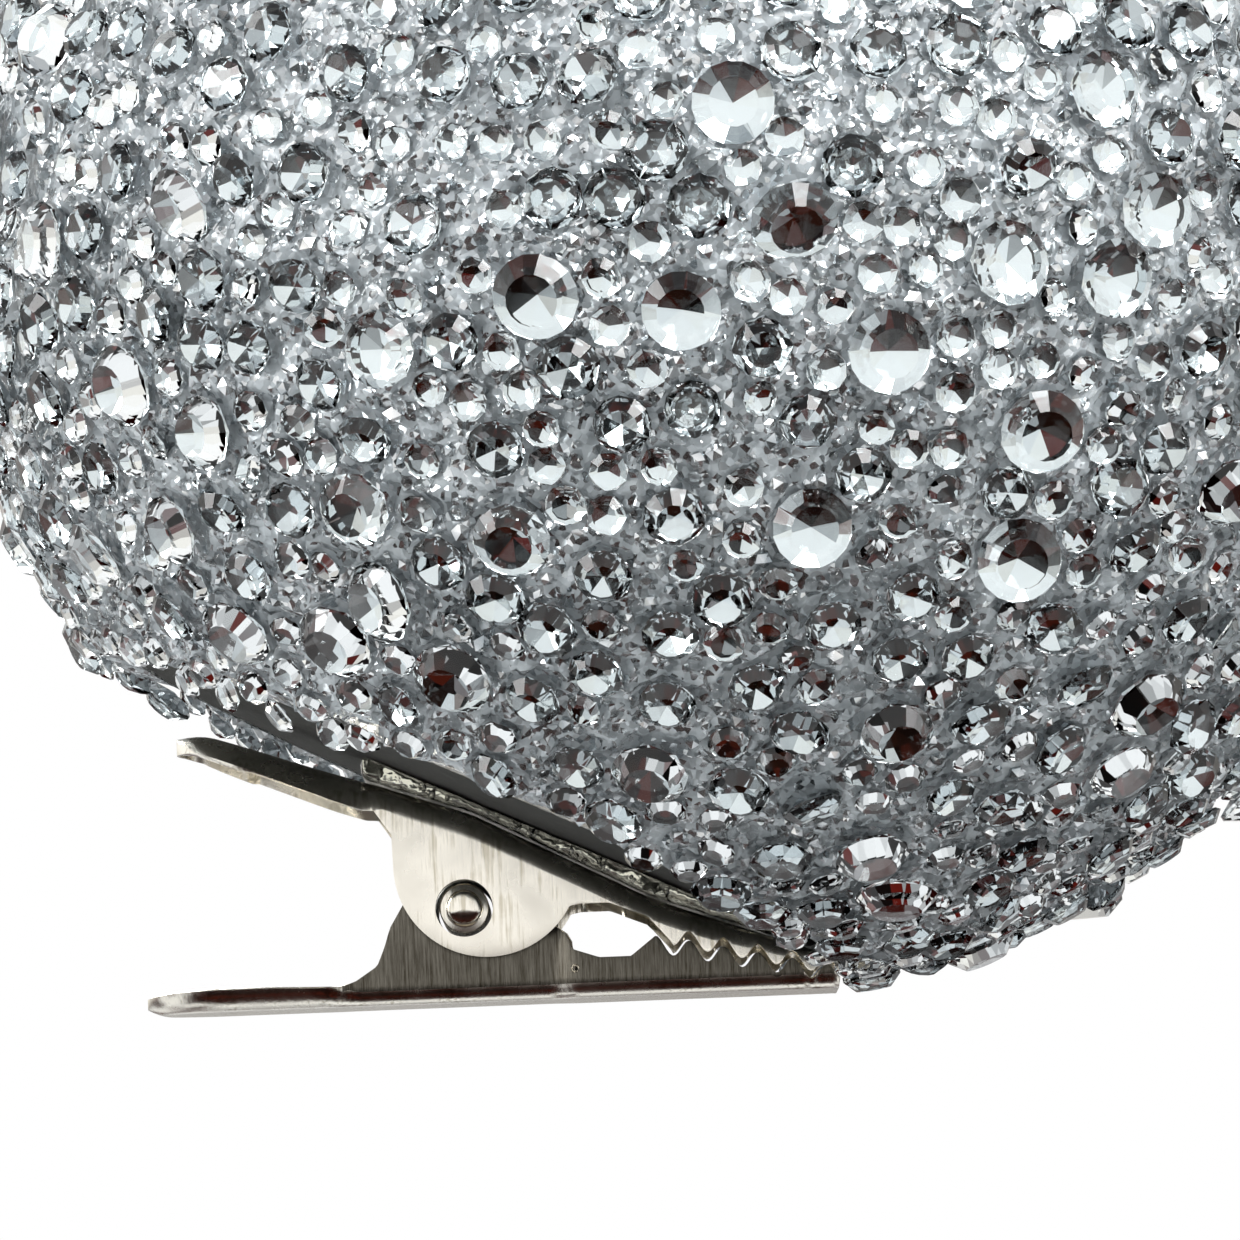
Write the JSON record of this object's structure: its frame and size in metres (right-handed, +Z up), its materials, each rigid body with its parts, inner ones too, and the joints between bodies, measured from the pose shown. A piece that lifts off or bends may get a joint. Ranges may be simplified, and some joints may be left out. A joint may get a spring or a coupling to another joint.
{
  "type": "hair clip",
  "caption": "Toothed spring clip of plated steel glued under a puffed silver ball covered with clear rhinestones.",
  "frame": {"origin": "on the flat bottom of the lower lever, straight below the pivot, midway across the clip", "axes": "+Z up, away from the lower lever's flat bottom; +X along the clip to the jaw tips; +Y across the clip"},
  "size_m": [0.0791, 0.0818, 0.0746],
  "materials": {
    "nickel_plate": "nickel-plated stamped steel",
    "spring_steel": "drawn spring wire",
    "hot_glue": "clear hot-melt glue",
    "felt": "dark grey felt backing",
    "foam": "white foam",
    "glitter_resin": "silver glitter in clear resin",
    "crystal": "foil-backed faceted flat-back stone"
  },
  "bodies": {
    "root": {"upper_lever": "nickel_plate", "pivot_pin": "nickel_plate", "torsion_spring": "spring_steel", "glue_bead": "hot_glue", "felt_disc": "felt", "foam_core": "foam", "rhinestone_sheet": "glitter_resin", "rhinestone_01": "crystal", "rhinestone_02": "crystal", "rhinestone_03": "crystal", "rhinestone_04": "crystal", "rhinestone_05": "crystal", "rhinestone_06": "crystal", "rhinestone_07": "crystal", "rhinestone_08": "crystal", "rhinestone_09": "crystal", "rhinestone_10": "crystal", "rhinestone_11": "crystal", "rhinestone_12": "crystal", "rhinestone_13": "crystal", "rhinestone_14": "crystal", "rhinestone_15": "crystal", "rhinestone_16": "crystal", "rhinestone_17": "crystal", "rhinestone_18": "crystal", "rhinestone_19": "crystal", "rhinestone_20": "crystal", "rhinestone_21": "crystal", "rhinestone_22": "crystal", "rhinestone_23": "crystal", "rhinestone_24": "crystal", "rhinestone_25": "crystal", "rhinestone_26": "crystal", "rhinestone_27": "crystal", "rhinestone_28": "crystal", "rhinestone_29": "crystal", "rhinestone_30": "crystal", "rhinestone_31": "crystal", "rhinestone_32": "crystal", "rhinestone_33": "crystal", "rhinestone_34": "crystal", "rhinestone_35": "crystal", "rhinestone_36": "crystal", "rhinestone_37": "crystal", "rhinestone_38": "crystal", "rhinestone_39": "crystal", "rhinestone_40": "crystal", "rhinestone_41": "crystal", "rhinestone_42": "crystal", "rhinestone_43": "crystal", "rhinestone_44": "crystal", "rhinestone_45": "crystal", "rhinestone_46": "crystal"},
    "lower_jaw": {"lower_lever": "nickel_plate"}
  },
  "joints": [
    {"name": "clip_hinge", "type": "hinge", "parent": "root", "child": "lower_jaw", "pos_m": [0, 0, 0.0047], "axis": [0, 1, 0], "range_deg": [0, 38], "stiffness_Nm_per_rad": 0.04, "springref_deg": -34.38, "deforming": ["torsion_spring"]}
  ]
}
